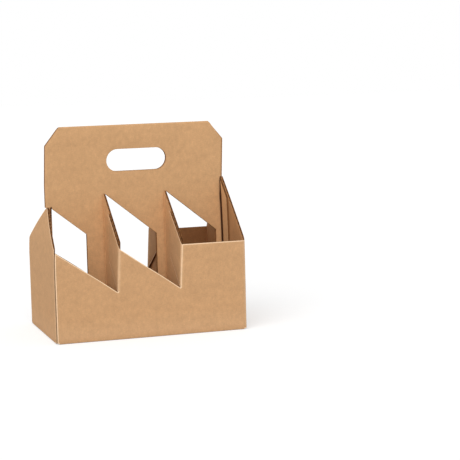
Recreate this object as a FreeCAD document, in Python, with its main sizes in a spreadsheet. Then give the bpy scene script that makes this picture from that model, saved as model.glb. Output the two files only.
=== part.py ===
import FreeCAD, Part

import math
import os

import Sketcher

# A cardboard carrier for six bottles, made of two folded blanks of corrugated board.
# outer_body is the box: four walls with rounded folds, gabled ends, a front and a back
# edge cut like saw teeth, and a glued locking base.  handle_insert stands inside along
# the middle: two plies folded over at the top, with a hand hole, dividers folded out to
# the front and the back, and end flaps glued to the end walls.
# +X runs along the length, +Y to the back, +Z up; the origin is the middle of the base.

SIZES = [
    ("length", 250.0, "outside, end wall to end wall at the base"),
    ("depth", 162.0, "outside, front wall to back wall"),
    ("board", 2.8, "thickness of one ply of corrugated board"),
    ("fold_radius", 1.6, "outside rounding of a fold of the box"),
    ("glue_line", 0.1, "film between two glued faces"),
    ("wall_height", 116.0, "front and back wall at their full height"),
    ("notch_depth", 55.0, "how far each saw tooth falls below the full height"),
    ("left_gable", 47.0, "peak of the left end wall above the front wall"),
    ("right_gable", 75.0, "peak of the right end wall above the front wall"),
    ("left_lean", 8.5, "how far the left peak is drawn in towards the handle"),
    ("right_lean", 3.5, "how far the right peak is drawn in towards the handle"),
    ("lean_start", 70.0, "height at which the end walls begin to curve in"),
    ("tab_reach", 48.0, "tabs folded in from the teeth, measured from the wall's face"),
    ("seam_inset", 1.6, "glued seam, from the left end wall's face"),
    ("seam_gap", 1.0, "open joint between the end wall's fold and the front wall"),
    ("seam_tab_width", 30.0, "glue tab behind the front wall"),
    ("seam_tab_drop", 4.0, "glue tab's top edge below the edge of the front wall"),
    ("base_end_flap", 68.0, "reach of the end flaps that lie on the base"),
    ("base_corner_cut", 24.0, "slanted ends of the two long base flaps"),
    ("base_lock_step", 9.0, "sideways step of the locking seam, each way"),
    ("base_lock_run", 22.0, "half the length of the slanted part of the locking seam"),
    ("base_seam", 0.9, "open width of the locking seam"),
    ("handle_top", 266.0, "top fold of the handle above the ground"),
    ("handle_width", 235.0, "handle above the end walls"),
    ("chamfer_width", 18.0, "cut corner of the handle, along the top"),
    ("chamfer_height", 24.0, "cut corner of the handle, down the side"),
    ("grip_length", 82.0, "hand hole with its round ends"),
    ("grip_height", 28.6, "hand hole"),
    ("grip_drop", 45.5, "middle of the hand hole below the top fold"),
    ("foot_gap", 0.3, "insert above the base flaps"),
    ("shoulder_gap", 0.4, "handle's shoulder above the peak of an end wall"),
    ("divider_reach", 67.0, "divider, from the middle panel's face"),
    ("divider_rise", 66.0, "rise of a divider's top edge from wall to middle plane"),
    ("divider_drop", 3.0, "divider's top edge below the tab that it is glued to"),
    ("divider_foot", 38.0, "lower edge of dividers and windows above the ground"),
    ("left_flap_reach", 45.0, "left end flap, from the middle panel's face"),
    ("left_flap_fall", 36.0, "fall of the left end flap's top edge"),
    ("left_flap_drop", 5.0, "left end flap's top below the wall's peak"),
    ("left_strip", 3.0, "strip of panel between the left flap and its window"),
    ("right_flap_reach", 20.0, "right end flap, from the middle panel's face"),
    ("right_flap_fall", 25.0, "fall of the right end flap's top edge"),
    ("right_flap_drop", 4.0, "right end flap's top below the wall's peak"),
]

doc = FreeCAD.newDocument("bottle_carrier")
sheet = doc.addObject("Spreadsheet::Sheet", "Sizes")
for row, (alias, value, note) in enumerate(SIZES, start=1):
    sheet.set(f"A{row}", alias)
    sheet.set(f"B{row}", str(value))
    sheet.set(f"C{row}", note)
    sheet.setAlias(f"B{row}", alias)
doc.recompute()


class Formula:
    """A length worked out from the sheet: its value now, and the expression for it."""

    def __init__(self, value, text):
        self.value = value
        self.text = text

    @staticmethod
    def of(number):
        if isinstance(number, Formula):
            return number
        return Formula(float(number), str(number))

    def join(self, sign, other, value):
        return Formula(value, f"({self.text} {sign} {other.text})")

    def __add__(self, other):
        other = Formula.of(other)
        return self.join("+", other, self.value + other.value)

    def __sub__(self, other):
        other = Formula.of(other)
        return self.join("-", other, self.value - other.value)

    def __mul__(self, other):
        other = Formula.of(other)
        return self.join("*", other, self.value * other.value)

    def __truediv__(self, other):
        other = Formula.of(other)
        return self.join("/", other, self.value / other.value)

    def __neg__(self):
        return Formula(-self.value, f"(0 - {self.text})")

    def root(self):
        return Formula(math.sqrt(self.value), f"sqrt({self.text})")


def size(alias):
    return Formula(float(sheet.get(alias)), f"Sizes.{alias}")


ZERO = Formula.of(0)
LEFT = -1
RIGHT = 1


# ---- sketches ------------------------------------------------------------------------

def origin_plane(body, role):
    for feature in body.Origin.OriginFeatures:
        if feature.Role == role:
            return feature
    raise ValueError(f"no origin plane {role}")


def new_sketch(body, name, plane, offset=None):
    """An empty sketch on an origin plane of the body, moved along its normal by offset."""
    sketch = body.newObject("Sketcher::SketchObject", name)
    sketch.AttachmentSupport = (origin_plane(body, plane), [""])
    sketch.MapMode = "FlatFace"
    if offset is not None:
        sketch.setExpression("AttachmentOffset.Base.z", offset.text)
    return sketch


def tie(sketch, kind, geometry, point, target):
    """Bind one coordinate of a sketch point to its formula."""
    index = sketch.addConstraint(
        Sketcher.Constraint(kind, -1, 1, geometry, point, target.value))
    sketch.setExpression(f"Constraints[{index}]", target.text)


def add_line(sketch, start, end):
    """A straight side; gives its geometry index and its start and end point numbers."""
    line = Part.LineSegment(FreeCAD.Vector(start[0].value, start[1].value, 0),
                            FreeCAD.Vector(end[0].value, end[1].value, 0))
    return sketch.addGeometry(line), 1, 2


def add_arc(sketch, start, end, centre, bind_radius):
    """A round side about a centre, the short way; its centre and radius are bound."""
    middle = FreeCAD.Vector(centre[0].value, centre[1].value, 0)
    first = FreeCAD.Vector(start[0].value, start[1].value, 0) - middle
    last = FreeCAD.Vector(end[0].value, end[1].value, 0) - middle
    angles = [math.atan2(first.y, first.x), math.atan2(last.y, last.x)]
    turns_left = math.sin(angles[1] - angles[0] - 1e-9) >= 0
    if not turns_left:
        angles.reverse()
    circle = Part.Circle(middle, FreeCAD.Vector(0, 0, 1), first.Length)
    index = sketch.addGeometry(Part.ArcOfCircle(circle, angles[0], angles[1]))
    tie(sketch, "DistanceX", index, 3, centre[0])
    tie(sketch, "DistanceY", index, 3, centre[1])
    if bind_radius:
        radius = sketch.addConstraint(Sketcher.Constraint("Radius", index, first.Length))
        sketch.setExpression(f"Constraints[{radius}]", centre[2].text)
    return (index, 1, 2) if turns_left else (index, 2, 1)


def draw_loop(sketch, corners):
    """Close the corners into a loop whose every corner is tied to the sheet.

    A corner is (u, v) or (u, v, centre); with a centre (u, v, radius) the side that
    starts there is an arc about it.  A corner on an arc is tied by the coordinate along
    which the arc runs, because the arc fixes the other one, and an arc that follows an
    arc takes its radius from their common corner."""
    sides = []
    for number, here in enumerate(corners):
        after = corners[(number + 1) % len(corners)]
        if len(here) == 3:
            follows_arc = len(corners[number - 1]) == 3
            sides.append(add_arc(sketch, here, after, here[2], not follows_arc))
        else:
            sides.append(add_line(sketch, here, after))
    for number, (geometry, start, end) in enumerate(sides):
        following = sides[(number + 1) % len(sides)]
        sketch.addConstraint(Sketcher.Constraint(
            "Coincident", geometry, end, following[0], following[1]))
        corner = corners[number]
        before = corners[number - 1]
        arc = corner[2] if len(corner) == 3 else before[2] if len(before) == 3 else None
        if arc is None:
            tie(sketch, "DistanceX", geometry, start, corner[0])
            tie(sketch, "DistanceY", geometry, start, corner[1])
            continue
        across = abs(corner[0].value - arc[0].value)
        along = abs(corner[1].value - arc[1].value)
        if across >= along:
            tie(sketch, "DistanceY", geometry, start, corner[1])
        else:
            tie(sketch, "DistanceX", geometry, start, corner[0])


def loop_sketch(body, name, plane, *loops, offset=None):
    sketch = new_sketch(body, name, plane, offset)
    for corners in loops:
        draw_loop(sketch, corners)
    return sketch


# ---- features ------------------------------------------------------------------------

def pad(body, sketch, name, length, midplane=False, reverse=False):
    feature = body.newObject("PartDesign::Pad", name)
    feature.Profile = sketch
    feature.Midplane = midplane
    feature.Reversed = reverse
    feature.setExpression("Length", length.text)
    body.Tip = feature
    return feature


def pocket(body, sketch, name, length=None, midplane=False, reverse=False):
    """Cut the sketch into the body; without a length it goes right through."""
    feature = body.newObject("PartDesign::Pocket", name)
    feature.Profile = sketch
    feature.Midplane = midplane
    feature.Reversed = reverse
    if length is None:
        feature.Type = "ThroughAll"
    else:
        feature.setExpression("Length", length.text)
    body.Tip = feature
    doc.recompute()
    removed = feature.BaseFeature.Shape.Volume - feature.Shape.Volume
    if removed <= 0:
        raise ValueError(f"{name} cuts nothing")
    return feature


def fillet(body, name, radius, chosen):
    """Round every edge of the body so far that the test chosen(edge) picks."""
    doc.recompute()
    base = body.Tip
    edges = [f"Edge{number}" for number, edge in enumerate(base.Shape.Edges, start=1)
             if chosen(edge)]
    if not edges:
        raise ValueError(f"{name} finds no edge")
    feature = body.newObject("PartDesign::Fillet", name)
    feature.Base = (base, edges)
    feature.setExpression("Radius", radius.text)
    body.Tip = feature
    return feature


def near(one, other):
    return abs(one - other) < 0.01


# ---- shared geometry -----------------------------------------------------------------

length = size("length")
depth = size("depth")
board = size("board")
glue_line = size("glue_line")
wall_height = size("wall_height")
lean_start = size("lean_start")
half_length = length / 2
half_depth = depth / 2
two_boards = board * 2
cell_length = (length - board * 8) / 3
tooth_depth = size("notch_depth")
tooth_foot = wall_height - tooth_depth
tooth_slope = tooth_depth / (cell_length + two_boards)
teeth = [two_boards + cell_length - half_length,
         two_boards * 2 + cell_length * 2 - half_length]
peaks = {LEFT: wall_height + size("left_gable"), RIGHT: wall_height + size("right_gable")}
leans = {LEFT: size("left_lean"), RIGHT: size("right_lean")}
blank_top = peaks[RIGHT] + size("left_gable")
divider_slope = size("divider_rise") / half_depth


def side_radius(side):
    """Radius that draws a peak in by its lean, starting upright at lean_start."""
    rise = peaks[side] - lean_start
    lean = leans[side]
    return (rise * rise + lean * lean) / (lean * 2)


def side_point(side, inset, height):
    """Point of an end wall's curve, moved inwards by inset, at a height."""
    radius = side_radius(side)
    rise = height - lean_start
    sag = radius - (radius * radius - rise * rise).root()
    inwards = half_length - inset - sag
    return (inwards if side == RIGHT else -inwards), height


def side_centre(side, inset):
    inwards = half_length - inset - side_radius(side)
    return (inwards if side == RIGHT else -inwards), lean_start, side_radius(side)


def side_up(side, inset, foot, top):
    """Corners of an end wall's face from foot to top: upright, then curving inwards."""
    straight = half_length - inset
    straight = straight if side == RIGHT else -straight
    return [(straight, foot),
            (straight, lean_start, side_centre(side, inset)),
            side_point(side, inset, top)]


def side_down(side, inset, foot, top):
    """The same corners from top to foot."""
    straight = half_length - inset
    straight = straight if side == RIGHT else -straight
    return [side_point(side, inset, top) + (side_centre(side, inset),),
            (straight, lean_start),
            (straight, foot)]


def mirrored(corners):
    """A loop turned about the middle plane, walked the same way round."""
    return [(-corner[0],) + tuple(corner[1:]) for corner in reversed(corners)]


# ---- the box -------------------------------------------------------------------------

def make_outer_body():
    """The folded box, from one block with the walls' curve, hollowed and cut to shape."""
    body = doc.addObject("PartDesign::Body", "outer_body")
    body.Label = "outer_body"

    left_end = (leans[LEFT] - half_length, blank_top)
    right_end = (half_length - leans[RIGHT], blank_top)
    outside = (side_up(LEFT, ZERO, ZERO, peaks[LEFT]) + [left_end, right_end]
               + side_down(RIGHT, ZERO, ZERO, peaks[RIGHT]))
    sketch = loop_sketch(body, "outside_profile", "XZ_Plane", outside)
    pad(body, sketch, "block", depth, midplane=True)

    def corner_fold(edge):
        points = [vertex.Point for vertex in edge.Vertexes]
        middle = edge.BoundBox.Center
        on_wall = all(near(abs(point.y), half_depth.value) for point in points)
        at_end = abs(middle.x) > half_length.value / 2
        standing = edge.BoundBox.ZLength > edge.BoundBox.XLength
        underneath = edge.BoundBox.ZMax < 0.01
        return (on_wall and at_end and standing) or underneath

    fillet(body, "folds", size("fold_radius"), corner_fold)

    inside_top = blank_top + board
    inside = (side_up(LEFT, board, two_boards, peaks[LEFT])
              + [(leans[LEFT] + board - half_length, inside_top),
                 (half_length - leans[RIGHT] - board, inside_top)]
              + side_down(RIGHT, board, two_boards, peaks[RIGHT]))
    sketch = loop_sketch(body, "inside_profile", "XZ_Plane", inside)
    pocket(body, sketch, "hollow", depth - two_boards, midplane=True)

    cut_wall_edges(body, inside_top)
    cut_gable(body, LEFT, "left", inside_top)
    cut_gable(body, RIGHT, "right", inside_top)
    add_tooth_tabs(body)
    add_glued_seam(body)
    shape_base(body)
    return body


def cut_wall_edges(body, above):
    """Front and back edge: two slanted teeth from the left, then a straight run."""
    first, second = teeth
    start = side_point(LEFT, board, wall_height - tooth_slope * board)
    cutter = [start, (first, tooth_foot), (first, wall_height),
              (second, tooth_foot), (second, wall_height),
              side_point(RIGHT, board, wall_height) + (side_centre(RIGHT, board),),
              side_point(RIGHT, board, peaks[RIGHT]),
              (half_length - leans[RIGHT] - board, above),
              (leans[LEFT] + board - half_length, above),
              side_point(LEFT, board, peaks[LEFT]) + (side_centre(LEFT, board),)]
    sketch = loop_sketch(body, "wall_edge_profile", "XZ_Plane", cutter)
    pocket(body, sketch, "wall_edges", midplane=True)


def cut_gable(body, side, word, above):
    """An end wall's slopes, from the corners up to a peak as wide as the handle."""
    cutter = [(-half_depth, wall_height), (-board, peaks[side]), (board, peaks[side]),
              (half_depth, wall_height), (half_depth, above), (-half_depth, above)]
    sketch = loop_sketch(body, f"{word}_gable_profile", "YZ_Plane", cutter)
    pocket(body, sketch, f"{word}_gable", reverse=(side == RIGHT))


def add_tooth_tabs(body):
    """At each tooth, front and back, a tab folded inwards along the divider."""
    reach = size("tab_reach")
    tab = [(-half_depth, tooth_foot),
           (reach - half_depth, tooth_foot + tooth_slope * reach),
           (reach - half_depth, wall_height + divider_slope * reach),
           (-half_depth, wall_height)]
    for number, tooth in enumerate(teeth, start=1):
        sketch = loop_sketch(body, f"tab_{number}_profile", "YZ_Plane", tab, mirrored(tab),
                             offset=tooth)
        pad(body, sketch, f"tabs_{number}", board)

    def tab_fold(edge):
        box = edge.BoundBox
        upright = box.ZLength > 1 and box.XLength < 0.01 and box.YLength < 0.01
        on_face = near(abs(box.Center.y), half_depth.value)
        return upright and on_face and any(near(box.XMin, tooth.value) for tooth in teeth)

    fillet(body, "tab_folds", size("fold_radius"), tab_fold)


def add_glued_seam(body):
    """Front left corner: the front wall ends short of the fold, on a glue tab inside."""
    inner = size("seam_inset")
    groove = (side_up(LEFT, inner, ZERO, wall_height)
              + side_down(LEFT, inner + size("seam_gap"), ZERO, wall_height))
    sketch = loop_sketch(body, "seam_profile", "XZ_Plane", groove, offset=half_depth)
    pocket(body, sketch, "seam", board)

    width = size("seam_tab_width")
    tab_edge = width + board - half_length
    outer_top = wall_height - size("seam_tab_drop") - tooth_slope * board
    tab = side_up(LEFT, board / 2, board, outer_top) + [
        (tab_edge, outer_top - tooth_slope * width),
        (tab_edge, board)]
    sketch = loop_sketch(body, "seam_tab_profile", "XZ_Plane", tab,
                         offset=half_depth - board)
    pad(body, sketch, "seam_tab", board, reverse=True)


def shape_base(body):
    """Two long flaps locked along a stepped seam, with the end flaps lying on them."""
    inner_end = half_length - board
    inner_wall = half_depth - board
    flap_end = inner_end - size("base_end_flap")
    gap = [(-flap_end, board), (flap_end, board), (flap_end, two_boards),
           (-flap_end, two_boards)]
    sketch = loop_sketch(body, "floor_profile", "XZ_Plane", gap)
    pocket(body, sketch, "floor_between_flaps", depth - two_boards, midplane=True)

    cut = size("base_corner_cut")
    end = [(inner_end, -inner_wall), (inner_end, inner_wall),
           (inner_end - cut, inner_wall - cut), (inner_end - cut, cut - inner_wall)]
    sketch = loop_sketch(body, "flap_end_profile", "XY_Plane", end, mirrored(end))
    pocket(body, sketch, "flap_ends", board, reverse=True)

    run = size("base_lock_run")
    step = size("base_lock_step")
    half_seam = size("base_seam") / 2
    reach = inner_end - cut
    seam = [(-reach, step - half_seam), (-run, step - half_seam),
            (run, -step - half_seam), (reach, -step - half_seam),
            (reach, half_seam - step), (run, half_seam - step),
            (-run, step + half_seam), (-reach, step + half_seam)]
    sketch = loop_sketch(body, "lock_profile", "XY_Plane", seam)
    pocket(body, sketch, "lock_seam", board, reverse=True)


# ---- the insert ----------------------------------------------------------------------

def make_handle_insert():
    """The middle panel with its handle, dividers and end flaps."""
    body = doc.addObject("PartDesign::Body", "handle_insert")
    body.Label = "handle_insert"
    foot = two_boards + size("foot_gap")
    inset = board + glue_line
    top = size("handle_top")
    half_handle = size("handle_width") / 2
    corner = half_handle - size("chamfer_width")
    shoulder = top - size("chamfer_height")
    ledges = {side: peaks[side] + size("shoulder_gap") for side in (LEFT, RIGHT)}
    panel = (side_up(LEFT, inset, foot, ledges[LEFT])
             + [(-half_handle, ledges[LEFT]), (-half_handle, shoulder), (-corner, top),
                (corner, top), (half_handle, shoulder), (half_handle, ledges[RIGHT])]
             + side_down(RIGHT, inset, foot, ledges[RIGHT]))
    sketch = loop_sketch(body, "panel_profile", "XZ_Plane", panel)
    pad(body, sketch, "panel", two_boards, midplane=True)

    def top_fold(edge):
        box = edge.BoundBox
        return box.ZMin > top.value - 0.01 and box.XLength > 1

    fillet(body, "top_fold", board * 0.98, top_fold)
    cut_hand_hole(body, top)
    add_end_flap(body, LEFT, "left", foot)
    add_end_flap(body, RIGHT, "right", foot)
    for number, tooth in enumerate(teeth, start=1):
        add_divider(body, number, tooth + board + glue_line)
    cut_end_window(body)
    return body


def cut_hand_hole(body, top):
    """A slot with full round ends, through both plies."""
    radius = size("grip_height") / 2
    middle = top - size("grip_drop")
    straight = size("grip_length") / 2 - radius
    left_end = (-straight, middle, radius)
    right_end = (straight, middle, radius)
    hole = [(-straight, middle - radius), (straight, middle - radius, right_end),
            (straight, middle + radius), (-straight, middle + radius, left_end)]
    sketch = loop_sketch(body, "hand_hole_profile", "XZ_Plane", hole)
    pocket(body, sketch, "hand_hole", midplane=True)


def add_end_flap(body, side, word, foot):
    """A flap each way from the panel's end, lying on the end wall, sloped at the top."""
    reach = size(f"{word}_flap_reach") + board
    flap_top = peaks[side] - size(f"{word}_flap_drop")
    inner = board + glue_line
    strip = (side_up(side, inner, foot, flap_top)
             + side_down(side, inner + board, foot, flap_top))
    sketch = loop_sketch(body, f"{word}_flap_profile", "XZ_Plane", strip)
    pad(body, sketch, f"{word}_flaps", reach * 2, midplane=True)

    above = flap_top + board
    slope = [(board, flap_top), (reach, flap_top - size(f"{word}_flap_fall")),
             (reach, above), (board, above)]
    sketch = loop_sketch(body, f"{word}_flap_slope", "YZ_Plane", slope, mirrored(slope))
    pocket(body, sketch, f"{word}_flap_slopes", reverse=(side == RIGHT))


def add_divider(body, number, place):
    """One divider to the front and one to the back, and the window they leave."""
    reach = size("divider_reach")
    far = reach + board
    foot = size("divider_foot")
    crest = wall_height + divider_slope * half_depth - size("divider_drop")
    at_panel = crest - divider_slope * board
    at_end = crest - divider_slope * far
    sheet_outline = [(-far, foot), (far, foot), (far, at_end), (board, at_panel),
                     (-board, at_panel), (-far, at_end)]
    sketch = loop_sketch(body, f"divider_{number}_profile", "YZ_Plane", sheet_outline,
                         offset=place)
    pad(body, sketch, f"dividers_{number}", board)

    face = place + board
    window = [(face, foot), (face + reach, foot), (face + reach, at_end), (face, at_panel)]
    sketch = loop_sketch(body, f"window_{number}_profile", "XZ_Plane", window)
    pocket(body, sketch, f"window_{number}", midplane=True)

    valley = [(face, -board, (place, -board, board)), (place, ZERO, (place, board, board)),
              (face, board)]
    sketch = loop_sketch(body, f"fold_{number}_profile", "XY_Plane", valley,
                         offset=at_panel)
    pocket(body, sketch, f"fold_{number}", at_panel - foot)


def cut_end_window(body):
    """The window beside the left end flap, its top edge sloped like the flap's."""
    reach = size("left_flap_reach")
    foot = size("divider_foot")
    top = peaks[LEFT] - size("left_flap_drop")
    edge = leans[LEFT] + two_boards + glue_line + size("left_strip") - half_length
    window = [(edge, foot), (edge + reach, foot),
              (edge + reach, top - size("left_flap_fall")), (edge, top)]
    sketch = loop_sketch(body, "end_window_profile", "XZ_Plane", window)
    pocket(body, sketch, "end_window", midplane=True)


# ---- build, check and write ----------------------------------------------------------

parts = [make_outer_body(), make_handle_insert()]
doc.recompute()

for item in doc.Objects:
    if "Invalid" in item.State or "Error" in item.State:
        raise ValueError(f"{item.Name} failed: {item.State}")
for part in parts:
    if part.Shape.isNull() or not part.Shape.isValid():
        raise ValueError(f"{part.Label} has no valid shape")
    if len(part.Shape.Solids) != 1:
        raise ValueError(f"{part.Label} is not one solid")

os.makedirs("parts", exist_ok=True)
for part in parts:
    part.Shape.exportStep(f"parts/{part.Label}.step")
    box = part.Shape.BoundBox
    print(f"{part.Label}: {part.Shape.Volume:.0f} mm3, x {box.XMin:.1f} to {box.XMax:.1f}, "
          f"y {box.YMin:.1f} to {box.YMax:.1f}, z {box.ZMin:.1f} to {box.ZMax:.1f}")
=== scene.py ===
import math

import bpy
import numpy as np
from mathutils import Matrix, Vector


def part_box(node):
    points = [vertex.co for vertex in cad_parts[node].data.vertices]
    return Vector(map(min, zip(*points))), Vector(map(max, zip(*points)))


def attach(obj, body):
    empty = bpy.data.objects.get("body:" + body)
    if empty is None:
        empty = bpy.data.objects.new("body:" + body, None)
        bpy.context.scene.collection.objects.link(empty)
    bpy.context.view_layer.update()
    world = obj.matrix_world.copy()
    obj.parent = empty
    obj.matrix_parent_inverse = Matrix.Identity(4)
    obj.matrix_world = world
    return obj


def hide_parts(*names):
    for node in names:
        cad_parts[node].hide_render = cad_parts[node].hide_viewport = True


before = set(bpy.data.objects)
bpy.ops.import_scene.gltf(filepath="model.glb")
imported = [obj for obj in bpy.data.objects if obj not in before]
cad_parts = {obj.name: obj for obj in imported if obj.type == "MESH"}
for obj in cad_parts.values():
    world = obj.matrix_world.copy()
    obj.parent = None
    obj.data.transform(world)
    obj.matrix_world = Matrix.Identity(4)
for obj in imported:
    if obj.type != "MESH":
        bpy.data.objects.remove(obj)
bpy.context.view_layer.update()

# A carrier for six bottles, made of two folded blanks of corrugated board: the box with
# its gabled ends and toothed walls, and the insert that is handle and dividers in one.
# Every board is built of what it is made of, an outer liner, an inner liner and the wavy
# fluting between them, cut flat and then folded.  Lengths are metres: +X runs along the
# carrier, +Y to its back, +Z up.

MM = 0.001

# ---- the board ----

BOARD = 2.8 * MM
LINER = 0.3 * MM
FLUTING = 0.2 * MM
FLUTE = 6.5 * MM           # from one wave of the fluting to the next
COLUMNS_PER_FLUTE = 8
FOLD_COLUMNS = 7           # cutting lines across a fold
WASHBOARD = 0.022 * MM     # how far the liners sink between two waves
FOLD = 1.6 * MM            # rounding of a fold of the box
CREASE = 0.12 * MM         # rounding on the inside of a fold
SCORE_SQUEEZE = 0.3        # share of the thickness lost along a scored fold
SCORE_WIDTH = 1.5 * MM
SCORE_FADE = 2             # past its end a score fades this much faster
TRIM = 1.4 * MM            # width of the strip beside a cut, crushed, painted paler as a highlight on the box and darker as shade on the insert
CRUSH = 0.12               # share of the thickness lost at a cut
GLUE_LINE = 0.1 * MM
SHARP = math.radians(32)   # faces that meet at more than this show an edge
TINY = 1e-9                # shorter than anything built here
WELD = 1e-6                # points nearer than this are one point
OFF_GRID = 0.37            # share of a weld that keeps round sizes off its borders

# ---- the box ----

box_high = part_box("outer_body")[1]
insert_low, insert_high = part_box("handle_insert")

HALF_LENGTH = box_high.x
HALF_DEPTH = box_high.y
WALL = 116 * MM            # front and back wall at their full height
NOTCH = 55 * MM            # fall of each saw tooth
NOTCH_FOOT = WALL - NOTCH
CELL = (2 * HALF_LENGTH - 8 * BOARD) / 3  # two boards stand at each end and tooth
TOOTH_SLOPE = NOTCH / (CELL + 2 * BOARD)
TEETH = [2 * BOARD + CELL - HALF_LENGTH, 4 * BOARD + 2 * CELL - HALF_LENGTH]
RAKE = 3.2 * MM            # how far a tooth's top stands off its foot
LEFT_PEAK = 163 * MM
RIGHT_PEAK = box_high.z
LEAN_START = 95 * MM       # the end walls stand upright below this
LEFT_LEAN = 9.7 * MM       # how far each peak is drawn in
RIGHT_LEAN = 2.7 * MM
SEAM = 1.5 * MM            # open joint at the glued corner
GLUE_TAB = 30 * MM
GLUE_TAB_DROP = 4 * MM     # how far the glue tab stays below the front wall
TAB_REACH = 48 * MM        # tabs folded in from the teeth
END_FLAP = 68 * MM         # base flaps of the end walls
CORNER_CUT = 24 * MM       # slanted ends of the long base flaps
LOCK_STEP = 9 * MM         # how far the long flaps' seam steps off the middle
LOCK_RUN = 22 * MM         # half the length over which it changes sides
LOCK_SEAM = 0.2 * MM

# ---- the insert ----

HANDLE_TOP = insert_high.z
INSERT_FOOT = insert_low.z
HALF_HANDLE = 116.9 * MM
FRONT_SLIP = 1.9 * MM      # the plies' right ends were cut this far too long
BACK_SLIP = 4.3 * MM
SKEW = 3 * MM              # the handle leans right by this at its top
LEFT_CHAMFER = 18 * MM
RIGHT_CHAMFER = 16.3 * MM
CHAMFER_HEIGHT = 24 * MM
SHOULDER_GAP = 0.4 * MM    # the handle clears the end walls' peaks by this
GRIP_RADIUS = 14.3 * MM
GRIP_STRAIGHT = 25.6 * MM  # half the straight part of the hand hole
GRIP_MIDDLE = HANDLE_TOP - 46 * MM
GRIP_OFFSET = 3.6 * MM     # the hole was cut this far right of the middle
DIVIDER_REACH = 67 * MM
DIVIDER_RISE = 66 * MM     # of a divider's top edge, from the wall to the middle
DIVIDER_DROP = 3 * MM      # how far that edge stays below the walls' corners
WINDOW_FOOT = 38 * MM
END_WINDOW_STRIP = 0.6 * MM  # board left standing beside the end window
LEFT_FLAP = 45 * MM        # reach of the end flap, cut from the end window
LEFT_FLAP_FALL = 36 * MM   # how far its edge falls over that reach
LEFT_FLAP_DROP = 1.2 * MM  # how far it stays below the peak
RIGHT_FLAP = 24 * MM
RIGHT_FLAP_FALL = 25 * MM
RIGHT_FLAP_DROP = 0.8 * MM

DIVIDER_SLOPE = DIVIDER_RISE / HALF_DEPTH
CREST = WALL + DIVIDER_SLOPE * HALF_DEPTH - DIVIDER_DROP
DIVIDER_TOP = CREST - DIVIDER_SLOPE * BOARD
DIVIDER_END = CREST - DIVIDER_SLOPE * (BOARD + DIVIDER_REACH)
DIVIDER_PLACES = [tooth + BOARD + GLUE_LINE for tooth in TEETH]
HINGES = [place - CREASE for place in DIVIDER_PLACES]
INSERT_END = HALF_LENGTH - 2 * BOARD - GLUE_LINE
WINDOW_EDGE = LEFT_LEAN + 2 * BOARD + GLUE_LINE + END_WINDOW_STRIP - HALF_LENGTH


# ---- flat blanks ----

def columns_between(start, end):
    """Cutting lines across a blank, evenly spaced at the fluting's own spacing."""
    count = max(1, math.ceil((end - start) / FLUTE * COLUMNS_PER_FLUTE))
    return np.linspace(start, end, count + 1)


def edge_line(*corners):
    """An edge of a blank: height over distance along, straight between the corners."""
    along, up = zip(*corners)
    return lambda columns: np.interp(columns, along, up)


def patch(columns, edges, rows, open_bands=()):
    """A stretch of blank as a grid.

    Its columns run up it, and an edge is one height or a height for each column.  Between
    neighbouring edges lies a band, split evenly into that band's number of rows: up = low
    + share * (high - low).  Open bands stay empty.  Gives along, up and the triangles."""
    levels = [np.broadcast_to(edge, columns.shape) for edge in edges]
    heights = [levels[0]]
    band_of_row = []
    for band, (low, high, count) in enumerate(zip(levels, levels[1:], rows)):
        heights.extend(low + (high - low) * share
                       for share in np.arange(1, count + 1) / count)
        band_of_row.extend([band] * count)
    up = np.stack(heights, axis=1)
    along = np.broadcast_to(columns[:, None], up.shape)
    point = np.arange(up.size).reshape(up.shape)
    filled = ~np.isin(band_of_row, open_bands)
    grids = (point[:-1, :-1], point[1:, :-1], point[1:, 1:], point[:-1, 1:])
    a, b, c, d = (grid[:, filled].ravel() for grid in grids)
    triangles = np.concatenate([np.stack([a, b, c], axis=1), np.stack([a, c, d], axis=1)])
    return along.ravel(), up.ravel(), triangles


def renumbered(triangles, counts):
    """The triangles of several parts as one list; counts are the parts' points."""
    starts = np.cumsum([0, *counts])
    return np.concatenate([part + start for part, start in zip(triangles, starts)])


def join_patches(patches):
    """Several patches of one blank as one list of points and triangles."""
    along, up, triangles = zip(*patches)
    return (np.concatenate(along), np.concatenate(up),
            renumbered(triangles, map(len, along)))


# ---- folding ----

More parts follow.
